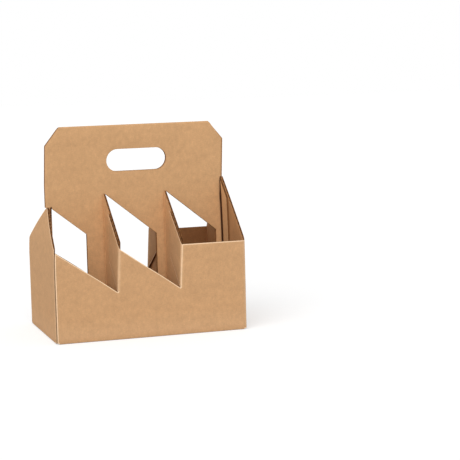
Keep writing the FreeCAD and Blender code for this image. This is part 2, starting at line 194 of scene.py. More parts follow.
class Path:
    """A board's way through right-angled folds, seen in section.

    The corners are those of its outer face, and depth is measured from that face to the
    left of the way.  At a depth, a fold is a quarter circle tangent to both runs, with
    radius = fold - depth below the outside of the bend, never less than the crease.
    A corner where the way goes straight on only limits how far a run is stretched.
    Distance along counts the runs and quarter circles at the outer face."""

    def __init__(self, corners, radius=FOLD):
        self.corners = np.array(corners, float)
        steps = np.diff(self.corners, axis=0)
        lengths = np.linalg.norm(steps, axis=1)
        self.ways = steps / lengths[:, None]
        self.lefts = np.stack([-self.ways[:, 1], self.ways[:, 0]], axis=1)
        turns = (self.ways[:-1, 0] * self.ways[1:, 1]
                 - self.ways[:-1, 1] * self.ways[1:, 0])
        self.turns = np.concatenate([[0], turns, [0]])
        self.radii = np.where(np.abs(self.turns) > 0.5, radius, 0.0)
        self.starts = []
        self.ends = []
        travelled = 0.0
        for run, length in enumerate(lengths):
            self.starts.append(travelled)
            travelled += length - self.radii[run] - self.radii[run + 1]
            self.ends.append(travelled)
            travelled += self.radii[run + 1] * math.pi / 2

    def bend(self, corner, depth):
        """Where the fold at a corner begins and ends, its centre and its radius."""
        before = self.ways[corner - 1]
        after = self.ways[corner]
        if self.radii[corner] == 0:
            point = self.corners[corner] + depth[:, None] * self.lefts[corner]
            return point, point, point, np.zeros((len(depth), 1))
        from_outside = depth if self.turns[corner] > 0 else BOARD - depth
        radius = np.maximum(self.radii[corner] - from_outside, CREASE)[:, None]
        offset = depth[:, None] * (self.lefts[corner - 1] + self.lefts[corner])
        point = self.corners[corner] + offset
        centre = point - radius * before + radius * after
        return point - radius * before, point + radius * after, centre, radius

    def at(self, along, depth):
        """Point in section and the direction into the board, for each distance along
        and depth: a share of the way between two folds, or centre - radius * next way *
        cos(angle) + radius * last way * sin(angle) within one."""
        point = np.zeros((len(along), 2))
        inward = np.zeros((len(along), 2))
        last = len(self.ways) - 1
        for run, (start, end) in enumerate(zip(self.starts, self.ends)):
            here = (along >= start - TINY) | (run == 0)
            first = self.corners[run] + depth[:, None] * self.lefts[run]
            final = self.corners[run + 1] + depth[:, None] * self.lefts[run]
            if run > 0:
                first = self.bend(run, depth)[1]
            if run < last:
                final = self.bend(run + 1, depth)[0]
            share = ((along - start) / max(end - start, TINY))[:, None]
            point[here] = (first + (final - first) * share)[here]
            inward[here] = self.lefts[run]
            if run == last or self.radii[run + 1] == 0:
                continue
            turning = along > end + TINY
            _, _, centre, radius = self.bend(run + 1, depth)
            angle = ((along - end) / self.radii[run + 1])[:, None]
            arc = (centre - radius * self.ways[run + 1] * np.cos(angle)
                   + radius * self.ways[run] * np.sin(angle))
            point[turning] = arc[turning]
        return point, inward

    def to_fold(self, along):
        """Distance along from the nearest fold, nothing inside one."""
        away = np.full(len(along), math.inf)
        for corner, radius in enumerate(self.radii[1:-1], start=1):
            if radius:
                short = np.maximum(self.ends[corner - 1] - along, along - self.starts[corner])
                away = np.minimum(away, np.maximum(short, 0))
        return away


def upright(path, side, reach, up, depth):
    """Points of an upright board that follows a path in plan, mirrored where side is -1."""
    x, y = path.at(reach, depth)[0].T
    return np.stack([x, side * y, up], axis=1)


def squeezed(depth, bell):
    """Depth in the board where a score presses it towards the middle, by the share of
    squeeze * bell; bell = exp(-(distance from the fold / width) squared)."""
    return BOARD / 2 + (depth - BOARD / 2) * (1 - SCORE_SQUEEZE * bell)


def lean_radius(peak, lean):
    """Radius of the circle that is upright at lean_start and in by lean at the peak:
    (rise squared + lean squared) / twice the lean."""
    return ((peak - LEAN_START) ** 2 + lean ** 2) / (2 * lean)


def sag(up, peak, lean):
    """How far an end wall is drawn in at a height: radius - root of (radius squared -
    rise above lean_start squared)."""
    radius = lean_radius(peak, lean)
    rise = np.maximum(up - LEAN_START, 0)
    return radius - np.sqrt(radius ** 2 - rise ** 2)


def raked(points):
    """Teeth and dividers lean: in at their foot and out at their top by half the rake,
    fully at the walls and not at all at the middle panel or half a cell away."""
    x, y, z = points.T
    height = np.interp(z, [0, NOTCH_FOOT, WALL], [0, -0.5, 0.5]) * np.abs(y) / HALF_DEPTH
    shift = np.zeros(len(x))
    for tooth in TEETH:
        near = (CELL / 2 - np.abs(x - tooth - BOARD)) / (CELL / 2 - 3 * BOARD)
        shift += RAKE * height * np.clip(near, 0, 1)
    return np.stack([x + shift, y, z], axis=1)


def draw_in(points, full_from, nothing_at):
    """Both ends drawn in by their sag: wholly beyond full_from, fading to nothing_at."""
    x, y, z = points.T
    left = np.clip((nothing_at[0] - x) / (nothing_at[0] + full_from), 0, 1)
    right = np.clip((x - nothing_at[1]) / (full_from - nothing_at[1]), 0, 1)
    x = x + left * sag(z, LEFT_PEAK, LEFT_LEAN) - right * sag(z, RIGHT_PEAK, RIGHT_LEAN)
    return np.stack([x, y, z], axis=1)


# ---- sheets of paper and board ----

def wave(along):
    """Angle of the fluting's wave: one full turn for each flute."""
    return 2 * math.pi * along / FLUTE


def outer_liner(along):
    """Depths of the outer liner: it sinks by washboard * (1 + sin(wave)) / 2 between the
    waves that it is glued to."""
    sunk = WASHBOARD * (1 + np.sin(wave(along))) / 2
    return sunk, sunk + LINER


def inner_liner(along):
    """Depths of the inner liner, which sinks where the outer one doesn't."""
    sunk = WASHBOARD * (1 - np.sin(wave(along))) / 2
    return BOARD - LINER - sunk, BOARD - sunk


def fluting(along):
    """Depths of the fluting: middle = board / 2 + height * sin(wave), and half its paper's
    thickness to each side, measured across the slanting paper."""
    height = (BOARD - 2 * LINER - FLUTING) / 2 - WASHBOARD
    middle = BOARD / 2 + height * np.sin(wave(along))
    steepness = height * 2 * math.pi / FLUTE * np.cos(wave(along))
    half = FLUTING / 2 * np.sqrt(1 + steepness ** 2)
    return middle - half, middle + half


# Whether the near and the far side of a layer lie inside the board.
INSIDE_SIDES = {outer_liner: (0.0, 1.0), inner_liner: (1.0, 0.0), fluting: (1.0, 1.0)}


def folded_sides(blanks, layer):
    """Near side, middle and far side of one layer of every blank as it lies once folded,
    each point's place on the board with its fold's bell, and the near side's triangles."""
    sides, marks, triangles = [], [], []
    for (along, up, patch_triangles), place, to_fold, crown in blanks:
        away = to_fold(along, up)
        bell = np.exp(-(away / SCORE_WIDTH) ** 2)
        near, far = (place(along, up, squeezed(depth, bell)) for depth in layer(along))
        middle = place(along, up, np.full(len(along), BOARD / 2))
        sides.append(np.stack([near, middle, far]))
        up_board = up if crown is None else 2 * crown - up
        marks.append(np.stack([along, up_board, np.copysign(bell, away)]))
        order = (0, 1, 2) if crown is None else (2, 1, 0)
        triangles.append(patch_triangles[:, order])
    counts = [part.shape[1] for part in marks]
    return (np.concatenate(sides, axis=1), np.concatenate(marks, axis=1),
            renumbered(triangles, counts))


def welded(near, far, triangles):
    """Points that coincide on both sides made one, and triangles that this shrinks to a
    line left out.  Gives the points to keep and the triangles between them."""
    key = np.floor(np.hstack([near, far]) / WELD + OFF_GRID).astype(np.int64)
    _, first, number = np.unique(key, axis=0, return_index=True, return_inverse=True)
    faces = number.ravel()[triangles]
    a, b, c = faces.T
    used, faces = np.unique(faces[(a != b) & (b != c) & (c != a)], return_inverse=True)
    return first[used], faces.reshape(-1, 3)


def cut_edges(faces, count):
    """Starts and ends of the edges that only one triangle has, which are cuts."""
    sides = np.concatenate([faces[:, [0, 1]], faces[:, [1, 2]], faces[:, [2, 0]]])
    code = sides.min(axis=1) * count + sides.max(axis=1)
    _, where, times = np.unique(code, return_index=True, return_counts=True)
    return sides[where[times == 1]].T


def closed_sheet(blanks, layer):
    """One layer of every blank as a closed skin.

    Each blank is (patch, place, to_fold, crown): place(along, up, depth) folds it,
    to_fold(along, up) is the distance from its nearest fold, negative from a crease that
    is painted dark as shade and never gets the fold trim, and a blank with a crown is a
    mirror image that lies beyond that height on the board.  Both sides are welded, and
    along every cut they are pressed towards the middle of the board and joined by a rim.
    Gives points, triangles and a table of their marks."""
    (near, middle, far), marks, triangles = folded_sides(blanks, layer)
    kept, faces = welded(near, far, triangles)
    near, middle, far = near[kept], middle[kept], far[kept]
    along, up, bell = marks[:, kept]
    count = len(kept)
    start, end = cut_edges(faces, count)
    at_cut = np.zeros(count)
    at_cut[start] = 1
    press = CRUSH * at_cut[:, None]
    near, far = near + press * (middle - near), far + press * (middle - far)
    rims = np.concatenate([np.stack([start, start + count, end + count], axis=1),
                           np.stack([start, end + count, end], axis=1)])
    everything = np.concatenate([faces, faces[:, ::-1] + count, rims])
    return np.concatenate([near, far]), everything, {
        "cut_face": np.repeat([0.0, 1.0], [2 * len(faces), len(rims)]),
        "near_cut": np.tile(at_cut, 2),
        "near_fold": np.tile(bell, 2),
        "board_along": np.tile(along, 2),
        "board_up": np.tile(up, 2),
        "board_depth": np.repeat([0.0, BOARD], count),
        "inside": np.repeat(INSIDE_SIDES[layer], count)}


def new_object(name, data):
    """A new object, put into the scene."""
    made = bpy.data.objects.new(name, data)
    bpy.context.scene.collection.objects.link(made)
    return made


def paper_piece(name, layers, blanks):
    """A mesh object of one or more closed layers, with their marks as attributes for the
    material."""
    points, triangles, marks = zip(*(closed_sheet(blanks, layer) for layer in layers))
    triangles = renumbered(triangles, map(len, points))
    points = np.concatenate(points)
    mesh = bpy.data.meshes.new(name)
    mesh.vertices.add(len(points))
    mesh.vertices.foreach_set("co", points.ravel())
    mesh.loops.add(triangles.size)
    mesh.loops.foreach_set("vertex_index", triangles.ravel())
    mesh.polygons.add(len(triangles))
    mesh.polygons.foreach_set("loop_start", np.arange(0, triangles.size, 3))
    for mark in marks[0]:
        values = np.concatenate([table[mark] for table in marks])
        domain = "POINT" if len(values) == len(points) else "FACE"
        mesh.attributes.new(mark, "FLOAT", domain).data.foreach_set("value", values)
    mesh.update(calc_edges=True)
    mesh.validate()
    mesh.shade_smooth()
    mesh.set_sharp_from_angle(angle=SHARP)
    piece = new_object(name, mesh)
    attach(piece, "root")
    return piece


# ---- the box's blank ----

FLAP_ROOT = 20 * MM        # above this a wall is upright and square
STRETCH = 12 * MM          # a fold's stretch is taken up within this length
SEAM_START = SEAM - HALF_LENGTH  # where the front wall begins, beside the glued seam
TAB_FACE = BOARD - HALF_DEPTH  # the glue tab's outer face, behind the front wall
GLUE_TOP = WALL - GLUE_TAB_DROP - TOOTH_SLOPE * BOARD
FLAP_INSET = BOARD + 0.6 * MM  # a flap's sides keep this far from the corners
LIFT_RUN = 20 * MM         # an end flap climbs onto the long flaps within this
BOW = 0.45 * MM            # how far the walls stand hollow between their folds
BOW_RISE = 48 * MM         # height by which most of the bow has grown

WRAP = Path([
    (SEAM_START, -HALF_DEPTH), (HALF_LENGTH - STRETCH, -HALF_DEPTH),
    (HALF_LENGTH, -HALF_DEPTH), (HALF_LENGTH, STRETCH - HALF_DEPTH),
    (HALF_LENGTH, HALF_DEPTH - STRETCH), (HALF_LENGTH, HALF_DEPTH),
    (HALF_LENGTH - STRETCH, HALF_DEPTH), (STRETCH - HALF_LENGTH, HALF_DEPTH),
    (-HALF_LENGTH, HALF_DEPTH), (-HALF_LENGTH, HALF_DEPTH - STRETCH),
    (-HALF_LENGTH, TAB_FACE + STRETCH), (-HALF_LENGTH, TAB_FACE),
    (STRETCH - HALF_LENGTH, TAB_FACE), (GLUE_TAB - HALF_LENGTH, TAB_FACE)])
FRONT_RIGHT, BACK_RIGHT, BACK_LEFT, GLUED = 2, 5, 8, 11  # the wrap's corners with folds
PROFILE = Path([(0, FLAP_ROOT), (0, 0), (HALF_DEPTH, 0)])
FOLD_END = FOLD * (1 - math.pi / 2)  # height on the blank where a base flap lies flat
TOOTH_ROWS = (1, 6, 1)     # wall or tab between the notch's foot and its top
WALL_ROWS = (1, 3, 4, 1, 2, 1, *TOOTH_ROWS)
NO_FLAP = (0, 1, 2)        # bands that are open where a wall has no base flap


def hollowed(points):
    """Walls stand a little hollow: in by bow * (1 - exp(-(height / rise) squared)) *
    (1 - (way across / half) squared)."""
    x, y, z = points.T
    strength = BOW * (1 - np.exp(-(np.maximum(z, 0) / BOW_RISE) ** 2))
    across_ends = np.clip(1 - (y / HALF_DEPTH) ** 2, 0, 1)
    across_walls = np.clip(1 - (x / HALF_LENGTH) ** 2, 0, 1)
    return np.stack([x * (1 - strength / HALF_LENGTH * across_ends),
                     y * (1 - strength / HALF_DEPTH * across_walls), z], axis=1)


def settled(points):
    """The box as it stands: walls hollow, teeth raked and ends drawn in."""
    return draw_in(raked(hollowed(points)), HALF_LENGTH - BOARD, TEETH)


def fold_box(along, up, depth):
    """Walls follow the wrap in plan; below the flap's root the profile turns them under.
    Point = plan + inward * (profile's reach - depth) at the profile's height; an end flap
    is lifted by board * (3 * climb squared - 2 * climb cubed)."""
    plan, inward = WRAP.at(along, depth)
    low = np.minimum(up, FLAP_ROOT)
    section, _ = PROFILE.at(FLAP_ROOT - low, depth)
    reach, height = section.T
    climb = np.clip((reach - FOLD) / LIFT_RUN, 0, 1)
    lift = BOARD * climb ** 2 * (3 - 2 * climb) * np.abs(inward[:, 0]) * (up < FOLD)
    x, y = (plan + inward * (reach - depth)[:, None]).T
    return settled(np.stack([x, y, height + lift + up - low], axis=1))


# Distance along the blank of a place on each wall; the back and the left one run the
# other way.

def along_front(x):
    return x - SEAM_START


def along_back(x):
    return WRAP.starts[BACK_RIGHT] + HALF_LENGTH - FOLD - x


def along_right(y):
    return WRAP.starts[FRONT_RIGHT] + HALF_DEPTH - FOLD + y


def along_left(y):
    return WRAP.starts[BACK_LEFT] + HALF_DEPTH - FOLD - y


TOOTH_FOLDS = [to_along(tooth + FOLD) for to_along in (along_front, along_back)
               for tooth in TEETH]


def box_folds(along, up):
    """Distance from the wrap's corners, from the base and from the folds of the teeth,
    whose scores soon end below the notches."""
    from_base = np.abs(up - (FOLD + FOLD_END) / 2) - (FOLD - FOLD_END) / 2
    away = np.minimum(WRAP.to_fold(along), np.maximum(from_base, 0))
    below = SCORE_FADE * np.maximum(NOTCH_FOOT - up, 0)
    return np.min([away] + [np.hypot(along - fold, below) for fold in TOOTH_FOLDS], axis=0)


def gable(y, peak):
    """Height of an end wall's edge: straight from the peak down to the walls."""
    return np.interp(np.abs(y), [BOARD, HALF_DEPTH], [peak, WALL])


def falling_from(tooth):
    """A wall's edge that falls from full height at one tooth: wall - slope * (x - tooth)."""
    return lambda x: WALL - TOOTH_SLOPE * (x - tooth)


def level_at(height):
    """A wall's edge at one height."""
    return lambda x: np.full(len(x), height)


def wall_patch(along, flap_reach, high):
    """A stretch of wall with the base flap under it, if it has one: the flap's reach and
    the wall's height are given for each place along."""
    order = np.argsort(along)
    flap_end = np.full(len(along), FOLD_END)
    if flap_reach is not None:
        flap_end = FOLD_END + FOLD - flap_reach[order]
    high = high[order]
    trimmed = high - TRIM
    edges = [flap_end, np.minimum(flap_end + TRIM, FOLD_END), FOLD_END, FOLD,
             FOLD + TRIM, NOTCH_FOOT - TRIM, np.minimum(NOTCH_FOOT, trimmed),
             np.minimum(NOTCH_FOOT + TRIM, trimmed), trimmed, high]
    return patch(along[order], edges, WALL_ROWS, NO_FLAP if flap_reach is None else ())


def long_wall_patches(to_along, seam_side):
    """Front or back wall: two slanted teeth and a level stretch, with a long base flap
    whose ends are slanted and whose inner edge follows the stepped seam."""
    flap_side = HALF_LENGTH - FLAP_INSET
    flap_square = HALF_LENGTH - BOARD - CORNER_CUT
    first, second = TEETH
    outer_end = -SEAM_START if seam_side > 0 else HALF_LENGTH - FOLD

    def slanted(x):
        return HALF_LENGTH - np.abs(x)

    def to_seam(x):
        seam = np.interp(x, [-LOCK_RUN, LOCK_RUN], [LOCK_STEP, -LOCK_STEP])
        return HALF_DEPTH + seam_side * seam - LOCK_SEAM / 2

    end_slope = falling_from(-HALF_LENGTH)
    stretches = [
        (-outer_end, TRIM - outer_end, None, end_slope),
        (TRIM - outer_end, -flap_side, None, end_slope),
        (-flap_side, -flap_square, slanted, end_slope),
        (-flap_square, first, to_seam, end_slope),
        (first, first + FOLD, to_seam, level_at(NOTCH_FOOT)),
        (first + FOLD, second, to_seam, falling_from(first)),
        (second, second + FOLD, to_seam, level_at(NOTCH_FOOT)),
        (second + FOLD, flap_square, to_seam, level_at(WALL)),
        (flap_square, flap_side, slanted, level_at(WALL)),
        (flap_side, HALF_LENGTH - FOLD, None, level_at(WALL))]
    patches = []
    for start, end, reach, edge in stretches:
        x = columns_between(start, end)
        if end - start < TRIM + TINY:  # too narrow for lines between its sides
            x = np.array([start, end])
        patches.append(wall_patch(to_along(x), reach and reach(x), edge(x)))
    return patches


def end_wall_patches(to_along, peak, front_end):
    """An end wall: a gable over a straight base flap."""
    corners = [front_end, front_end + BOARD, -BOARD, BOARD,
               HALF_DEPTH - FLAP_INSET, HALF_DEPTH - FOLD]
    patches = []
    for number, (start, end) in enumerate(zip(corners, corners[1:])):
        y = columns_between(start, end)
        has_flap = 0 < number < len(corners) - 2
        reach = np.full(len(y), END_FLAP + BOARD) if has_flap else None
        patches.append(wall_patch(to_along(y), reach, gable(y, peak)))
    return patches


def corner_patch(corner, high_before, high_after):
    """A wall fold from one wall's edge to the next one's."""
    columns = np.linspace(WRAP.ends[corner - 1], WRAP.starts[corner], FOLD_COLUMNS)
    share = np.linspace(0, 1, FOLD_COLUMNS)
    return wall_patch(columns, None, high_before + (high_after - high_before) * share)


def glue_tab_patch():
    """The tab behind the front wall, slanted like the wall's edge."""
    columns = columns_between(WRAP.starts[GLUED], WRAP.ends[-1])
    return wall_patch(columns, None, GLUE_TOP - TOOTH_SLOPE * (columns - columns[0]))


def wrap_patches():
    """The four walls with their base flaps, their folds and the glue tab."""
    side = HALF_DEPTH - FOLD
    tab_corner = TAB_FACE + FOLD
    back_left_edge = falling_from(-HALF_LENGTH)(FOLD - HALF_LENGTH)
    return (long_wall_patches(along_front, 1)
            + [corner_patch(FRONT_RIGHT, WALL, gable(side, RIGHT_PEAK))]
            + end_wall_patches(along_right, RIGHT_PEAK, -side)
            + [corner_patch(BACK_RIGHT, gable(side, RIGHT_PEAK), WALL)]
            + long_wall_patches(along_back, -1)
            + [corner_patch(BACK_LEFT, back_left_edge, gable(side, LEFT_PEAK))]
            + end_wall_patches(along_left, LEFT_PEAK, tab_corner)
            + [corner_patch(GLUED, gable(tab_corner, LEFT_PEAK), GLUE_TOP),
               glue_tab_patch()])


def tab_blank(tooth, side, to_along):
    """The tab folded in from a tooth of the front wall (side 1) or, mirrored, of the back
    wall (-1), and its folding."""
    path = Path([(tooth, TAB_REACH - HALF_DEPTH), (tooth, -HALF_DEPTH),
                 (tooth + 2 * FOLD, -HALF_DEPTH)])
    fold = path.ends[0]
    root = path.starts[1]
    origin = to_along(tooth + FOLD) - side * root
    reaches = np.concatenate([columns_between(0, fold),
                              np.linspace(fold, root, FOLD_COLUMNS)[1:]])
    low = edge_line((0, NOTCH_FOOT + TOOTH_SLOPE * TAB_REACH),
                    (fold, NOTCH_FOOT + TOOTH_SLOPE * FOLD), (root, NOTCH_FOOT))(reaches)
    high = edge_line((0, WALL + DIVIDER_SLOPE * TAB_REACH),
                     (fold, WALL + DIVIDER_SLOPE * FOLD),
                     (root, WALL - TOOTH_SLOPE * FOLD))(reaches)
    edges = np.array([low, low + TRIM, high - TRIM, high])
    tab = patch((origin + side * reaches)[::side], edges[:, ::side], TOOTH_ROWS)

    def place(along, up, depth):
        return settled(upright(path, side, side * (along - origin), up, depth))

    return tab, place, lambda along, _: path.to_fold(side * (along - origin)), None


def box_blanks():
    """The wrap with its base flaps, and the tabs folded in from the four teeth."""
    blanks = [(join_patches(wrap_patches()), fold_box, box_folds, None)]
    for tooth in TEETH:
        blanks.append(tab_blank(tooth, 1, along_front))
        blanks.append(tab_blank(tooth, -1, along_back))
    return blanks


# ---- the insert's blank ----

TOP_BEND = HANDLE_TOP - BOARD  # where the handle's plies begin to fold over
TOP_ARC = TOP_BEND + BOARD * math.pi / 2  # height on the blank of the handle's crown
INNERMOST = 0.02 * MM      # least radius of the fold at the handle's top
HIDDEN = BOARD - 2 * GLUE_LINE  # the panel's slanted ends reach this far into flaps
GRIP_END = GRIP_STRAIGHT + GRIP_RADIUS
ROUND_COLUMNS = 22         # cutting lines across a round end of the hand hole
CREASE_WIDENING = 2.5      # a flap's crease and its painted shade are this much wider on the flap
SWAY = 0.8 * MM            # how far the handle's top stands out of flat
SWAY_START = 0.6           # angle of the sway's wave at the middle
LEFT_FLAP_TOP = LEFT_PEAK - LEFT_FLAP_DROP
RIGHT_FLAP_TOP = RIGHT_PEAK - RIGHT_FLAP_DROP
FIRST, SECOND = DIVIDER_PLACES
FIRST_END, SECOND_END = [place + BOARD + DIVIDER_REACH for place in DIVIDER_PLACES]
WINDOW_ENDS = [(WINDOW_EDGE, WINDOW_EDGE + LEFT_FLAP), (HINGES[0], FIRST_END),
               (HINGES[1], SECOND_END)]

window_line = edge_line(
    (WINDOW_EDGE, LEFT_FLAP_TOP),
    (WINDOW_EDGE + LEFT_FLAP, LEFT_FLAP_TOP - LEFT_FLAP_FALL),
    (HINGES[0], DIVIDER_TOP), (FIRST + BOARD, DIVIDER_TOP), (FIRST_END, DIVIDER_END),
    (HINGES[1], DIVIDER_TOP), (SECOND + BOARD, DIVIDER_TOP), (SECOND_END, DIVIDER_END))
ledge_line = edge_line(
    (WINDOW_EDGE, LEFT_PEAK + SHOULDER_GAP),
    (WINDOW_EDGE + LEFT_FLAP, DIVIDER_TOP + BOARD),
    (SECOND + BOARD, DIVIDER_TOP + BOARD), (SECOND_END, RIGHT_PEAK + SHOULDER_GAP))

WINDOW_ROWS = (1, 5, 1)    # a window, and the divider cut from it
PANEL_ROWS = (2, 1, *WINDOW_ROWS, 1, 3, 1, 1, 2, 1, 3, 1, 3, 1, 7)
WINDOW_BANDS = (2, 3, 4)
LEDGE_BAND = 7             # air between the panel's slanted ends and the handle
HANDLE_BANDS = tuple(range(8, 16))
GRIP_BAND = 11
FLAP_ROWS = (2, 7, 1)


def swayed(points):
    """The handle isn't quite flat: y grows by sway * share squared * sin(wave), where
    share is the way up from the walls and the wave a half turn over the handle."""
    x, y, z = points.T
    share = np.clip((z - WALL) / (HANDLE_TOP - WALL), 0, 1)
    sway = SWAY * share ** 2 * np.sin(math.pi * x / (2 * HALF_HANDLE) + SWAY_START)
    return np.stack([x, y + sway, z], axis=1)


def ply_side(side):
    """The middle panel: upright plies, folded over at the top about the middle plane;
    on the arc y = -radius * cos(angle) and z = bend + radius * sin(angle), with radius =
    board - depth.  Above the box the plies lean right, as much as they are high, and
    each one's right end stands out by its own slip."""
    slip = FRONT_SLIP if side > 0 else BACK_SLIP

    def place(along, up, depth):
        end = np.clip((along - HALF_HANDLE) / RIGHT_CHAMFER + 1, 0, 1)
        above = np.clip((up - RIGHT_PEAK) / SHOULDER_GAP, 0, 1)
        lean = SKEW * np.clip((up - RIGHT_PEAK) / (HANDLE_TOP - RIGHT_PEAK), 0, 1)
        slipped = along + lean + slip * end * above
        angle = np.maximum(up - TOP_BEND, 0) / BOARD
        radius = np.maximum(BOARD - depth, INNERMOST)
        y = -radius * np.cos(angle)
        z = np.minimum(up, TOP_BEND) + radius * np.sin(angle)
        return swayed(np.stack([slipped, side * y, z], axis=1))
    return place


def panel_folds(along, up):
    """Distance from the folds of the dividers and from the one at the handle's top;
    negative, where nearer, from the creases beside the end flaps, which get a painted shade."""
    beyond = SCORE_FADE * np.maximum(np.maximum(WINDOW_FOOT - up, up - DIVIDER_TOP), 0)
    across = np.min([np.abs(along - hinge) for hinge in HINGES], axis=0)
    outward = np.minimum(np.hypot(across, beyond), np.maximum(TOP_BEND - up, 0))
    inward = np.full(len(along), math.inf)
    for away, peak, lean in ((INSERT_END + along, LEFT_PEAK, LEFT_LEAN),
                             (INSERT_END - along, RIGHT_PEAK, RIGHT_LEAN)):
        gap = away - sag(np.minimum(up, peak), peak, lean)
        above = SCORE_FADE * np.maximum(up - peak, 0)
        inward = np.minimum(inward, np.hypot(gap, above))
    return np.where(inward < outward, -inward, outward)


def panel_end(away, peak, lean):
    """Height at which an end of the panel meets the drawn-in end wall, which is sag's
    formula turned round; further in than the wall leans there is no such height."""
    radius = lean_radius(peak, lean)
    inwards = np.clip(away + HIDDEN, 0, lean)
    height = LEAN_START + np.sqrt(radius ** 2 - (radius - inwards) ** 2)
    return np.where(away + HIDDEN > lean, math.inf, height)


def chamfered(x):
    """The handle's top edge: handle top - chamfer * the way across the cut corner."""
    width = np.where(x < 0, LEFT_CHAMFER, RIGHT_CHAMFER)
    return HANDLE_TOP - CHAMFER_HEIGHT * np.clip((np.abs(x) - HALF_HANDLE) / width + 1, 0, 1)


def panel_edges(x):
    """The panel's edges from its foot to its top, each a height for every x; the hand
    hole's half height is the root of (radius squared - way past its straight squared),
    and at the top, height on the blank is the arc sine of height in the air."""
    wall_limit = np.minimum(panel_end(x + INSERT_END, LEFT_PEAK, LEFT_LEAN),
                            panel_end(INSERT_END - x, RIGHT_PEAK, RIGHT_LEAN))
    window_high = np.minimum(window_line(x), wall_limit)
    ledge = ledge_line(x)
    shoulder = np.minimum(ledge, wall_limit)
    past = np.maximum(np.abs(x - GRIP_OFFSET) - GRIP_STRAIGHT, 0)
    grip_half = np.sqrt(np.maximum(GRIP_RADIUS ** 2 - past ** 2, 0))
    upright = np.minimum(chamfered(x), TOP_BEND)
    bent = np.clip((chamfered(x) - TOP_BEND) / BOARD, 0, 1)
    return [INSERT_FOOT, WINDOW_FOOT - TRIM, WINDOW_FOOT, WINDOW_FOOT + TRIM,
            window_high - TRIM, window_high, np.minimum(window_high + TRIM, shoulder),
            shoulder, ledge, ledge + TRIM,
            GRIP_MIDDLE - grip_half - TRIM, GRIP_MIDDLE - grip_half,
            GRIP_MIDDLE + grip_half, GRIP_MIDDLE + grip_half + TRIM,
            upright - TRIM, upright, upright + BOARD * np.arcsin(bent)]


def panel_sides():
    """Where the panel's outline turns or a hole begins or ends, from left to right."""
    ends = [-INSERT_END - HIDDEN, LEFT_LEAN - INSERT_END - HIDDEN,
            INSERT_END + HIDDEN - RIGHT_LEAN, INSERT_END + HIDDEN]
    corners = [-HALF_HANDLE, LEFT_CHAMFER - HALF_HANDLE,
               HALF_HANDLE - RIGHT_CHAMFER, HALF_HANDLE]
    grip = [GRIP_OFFSET + side
            for side in (-GRIP_END, -GRIP_STRAIGHT, GRIP_STRAIGHT, GRIP_END)]
    windows = [side for window in WINDOW_ENDS for side in window]
    return sorted(ends + corners + grip + windows + [FIRST + BOARD, SECOND + BOARD])


def grip_columns(start, end):
    """Columns across part of a round end of the hand hole, at even steps of its angle:
    x = offset + straight + radius * sin(angle)."""
    angle = np.linspace(0, math.pi / 2, ROUND_COLUMNS)
    half = GRIP_STRAIGHT + GRIP_RADIUS * np.sin(angle)
    x = GRIP_OFFSET + (half if start > GRIP_OFFSET else -half)
    return np.unique(np.clip(x, start, end))


def panel_patches():
    """The middle panel in stretches between its sides, each open where it has a window,
    the hand hole or only air beside the handle."""
    sides = panel_sides()
    patches = []
    for start, end in zip(sides, sides[1:]):
        middle = (start + end) / 2
        from_grip = abs(middle - GRIP_OFFSET)
        open_bands = [LEDGE_BAND]
        if any(left < middle < right for left, right in WINDOW_ENDS):
            open_bands.extend(WINDOW_BANDS)
        if from_grip < GRIP_END:
            open_bands.append(GRIP_BAND)
        if abs(middle) > HALF_HANDLE:
            open_bands.extend(HANDLE_BANDS)
        columns = columns_between(start, end)
        if GRIP_STRAIGHT < from_grip < GRIP_END:
            columns = grip_columns(start, end)
        patches.append(patch(columns, panel_edges(columns), PANEL_ROWS, open_bands))
    return patches


def divider_blank(place_x, hinge, side, crown):
    """A divider of the front ply (side 1) or the back one (-1), and its folding."""
    path = Path([(place_x - 2 * BOARD, -BOARD), (place_x, -BOARD),
                 (place_x, -BOARD - DIVIDER_REACH)], BOARD + CREASE)
    fold, root, end = path.ends[0], path.starts[1], path.ends[1]
    reaches = np.concatenate([np.linspace(fold, root, FOLD_COLUMNS),
                              columns_between(root, end)[1:]])
    high = edge_line((root, DIVIDER_TOP), (end, DIVIDER_END))(reaches)

    def place(along, up, depth):
        return swayed(raked(upright(path, side, along - hinge + fold, up, depth)))

    divider = patch(reaches - fold + hinge,
                    [WINDOW_FOOT, WINDOW_FOOT + TRIM, high - TRIM, high], WINDOW_ROWS)
    return divider, place, lambda along, _: path.to_fold(along - hinge + fold), crown


def end_flap_blank(corners, edge, root, side, crown):
    """An end flap, which lies on the inside of an end wall and follows that wall's curve.
    Its fold is minus the distance from where it was creased off the panel, so the crease
    gets a painted shade, and on its side of the crease that is a wide one."""
    path = Path(corners)
    columns = columns_between(0, path.ends[0])
    high = edge(columns)

    def place(along, up, depth):
        points = upright(path, side, along, up, depth)
        return draw_in(points, INSERT_END, (WINDOW_EDGE, -WINDOW_EDGE))

    flap = patch(columns, [INSERT_FOOT, LEAN_START, high - TRIM, high], FLAP_ROWS)
    return flap, place, lambda along, _: -np.abs(along - root) / CREASE_WIDENING, crown


